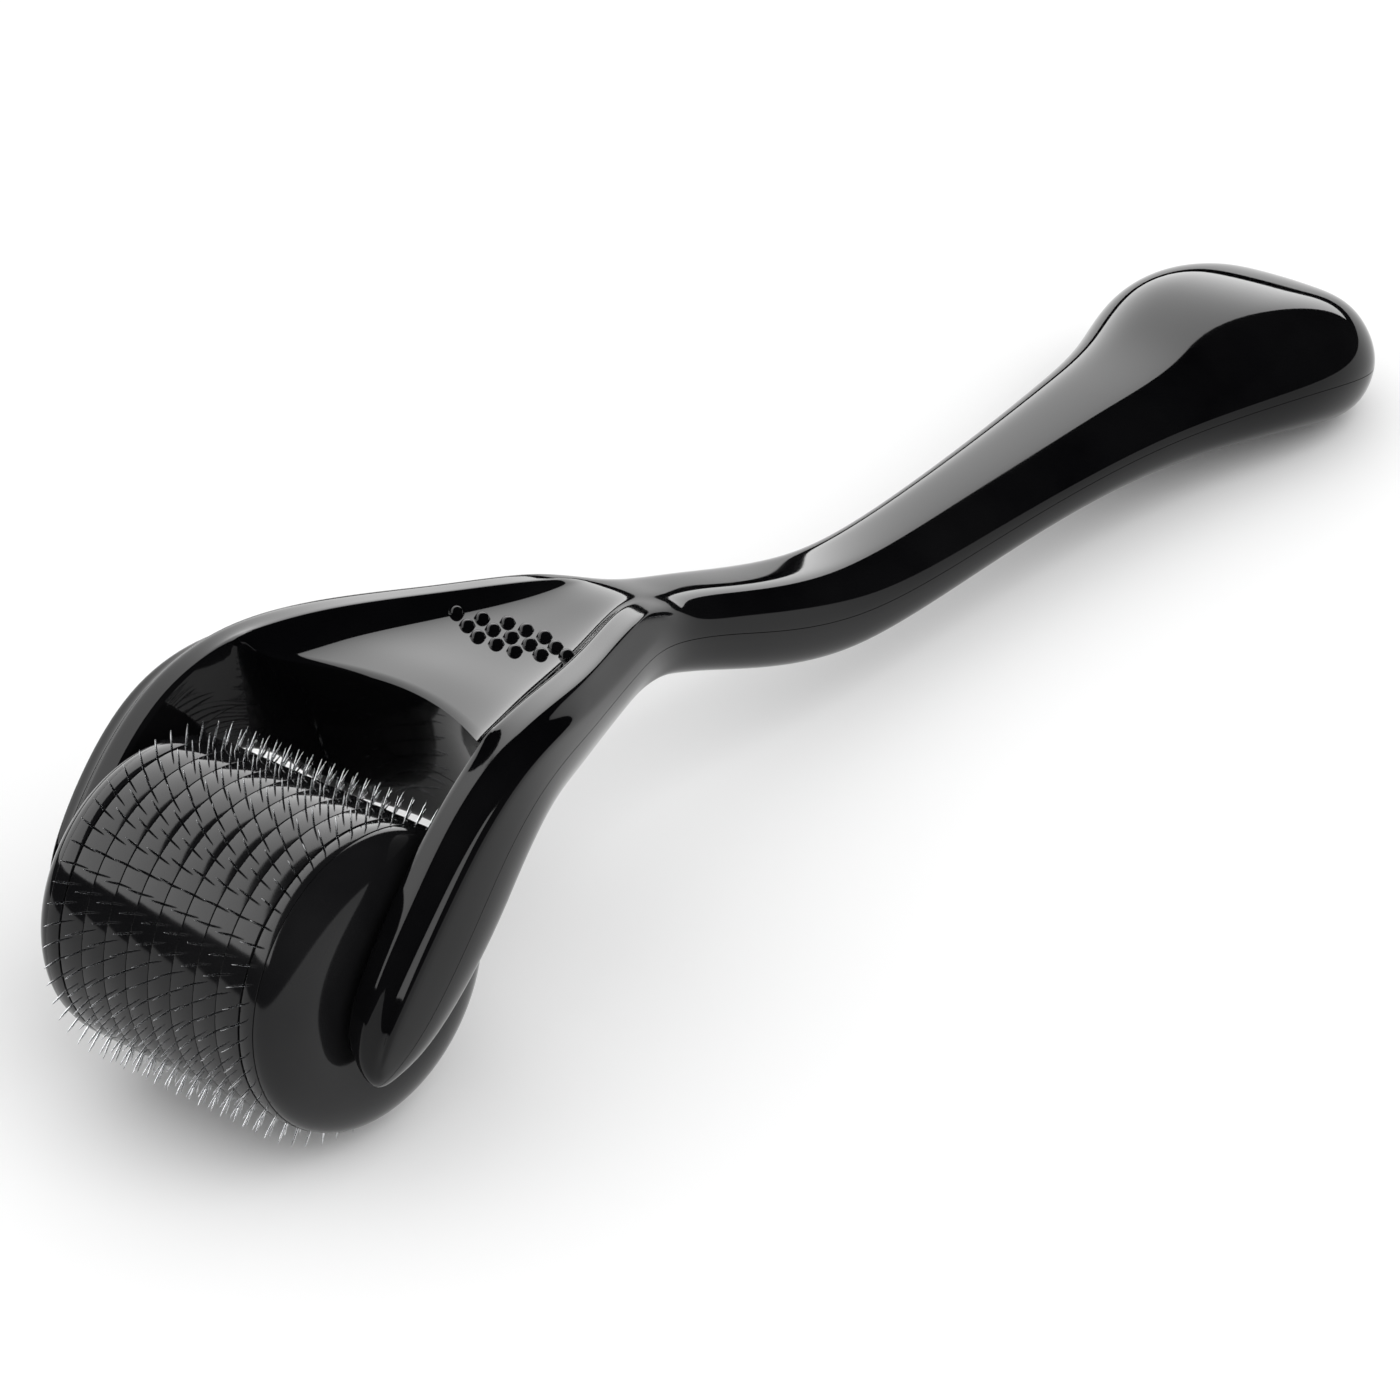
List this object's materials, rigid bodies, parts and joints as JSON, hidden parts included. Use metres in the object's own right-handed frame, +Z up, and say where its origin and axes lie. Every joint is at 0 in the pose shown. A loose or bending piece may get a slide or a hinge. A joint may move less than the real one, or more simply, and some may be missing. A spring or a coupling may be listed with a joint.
{
  "type": "derma roller",
  "caption": "Hand-held derma roller: a slim curved handle whose forked head carries a free-turning drum ringed with fine steel needles.",
  "frame": {"origin": "centre of the footprint on the table, with the drum's needles and the tail of the handle resting on it", "axes": "+Z up, +Y along the handle from the drum to the tail, +X along the drum's axis to the right"},
  "size_m": [0.032, 0.1339, 0.0252],
  "materials": {
    "handle_plastic": "high gloss black moulded plastic",
    "drum_plastic": "gloss black moulded plastic",
    "needle_steel": "bright thin stainless steel"
  },
  "bodies": {
    "handle": {"handle_top_shell": "handle_plastic", "handle_bottom_shell": "handle_plastic"},
    "drum": {"drum_arbor": "drum_plastic", "needle_disc_1": "needle_steel", "needle_disc_2": "needle_steel", "needle_disc_3": "needle_steel", "needle_disc_4": "needle_steel", "needle_disc_5": "needle_steel", "needle_disc_6": "needle_steel", "needle_disc_7": "needle_steel", "needle_disc_8": "needle_steel", "needle_disc_9": "needle_steel", "spacer_ring_1": "drum_plastic", "spacer_ring_2": "drum_plastic", "spacer_ring_3": "drum_plastic", "spacer_ring_4": "drum_plastic", "spacer_ring_5": "drum_plastic", "spacer_ring_6": "drum_plastic", "spacer_ring_7": "drum_plastic", "spacer_ring_8": "drum_plastic", "end_ring_left": "drum_plastic", "end_ring_right": "drum_plastic", "end_cap_left": "drum_plastic", "end_cap_right": "drum_plastic"}
  },
  "joints": [
    {"name": "drum_spin", "type": "hinge", "parent": "handle", "child": "drum", "pos_m": [0, -0.055, 0.012], "axis": [1, 0, 0], "continuous": true}
  ]
}
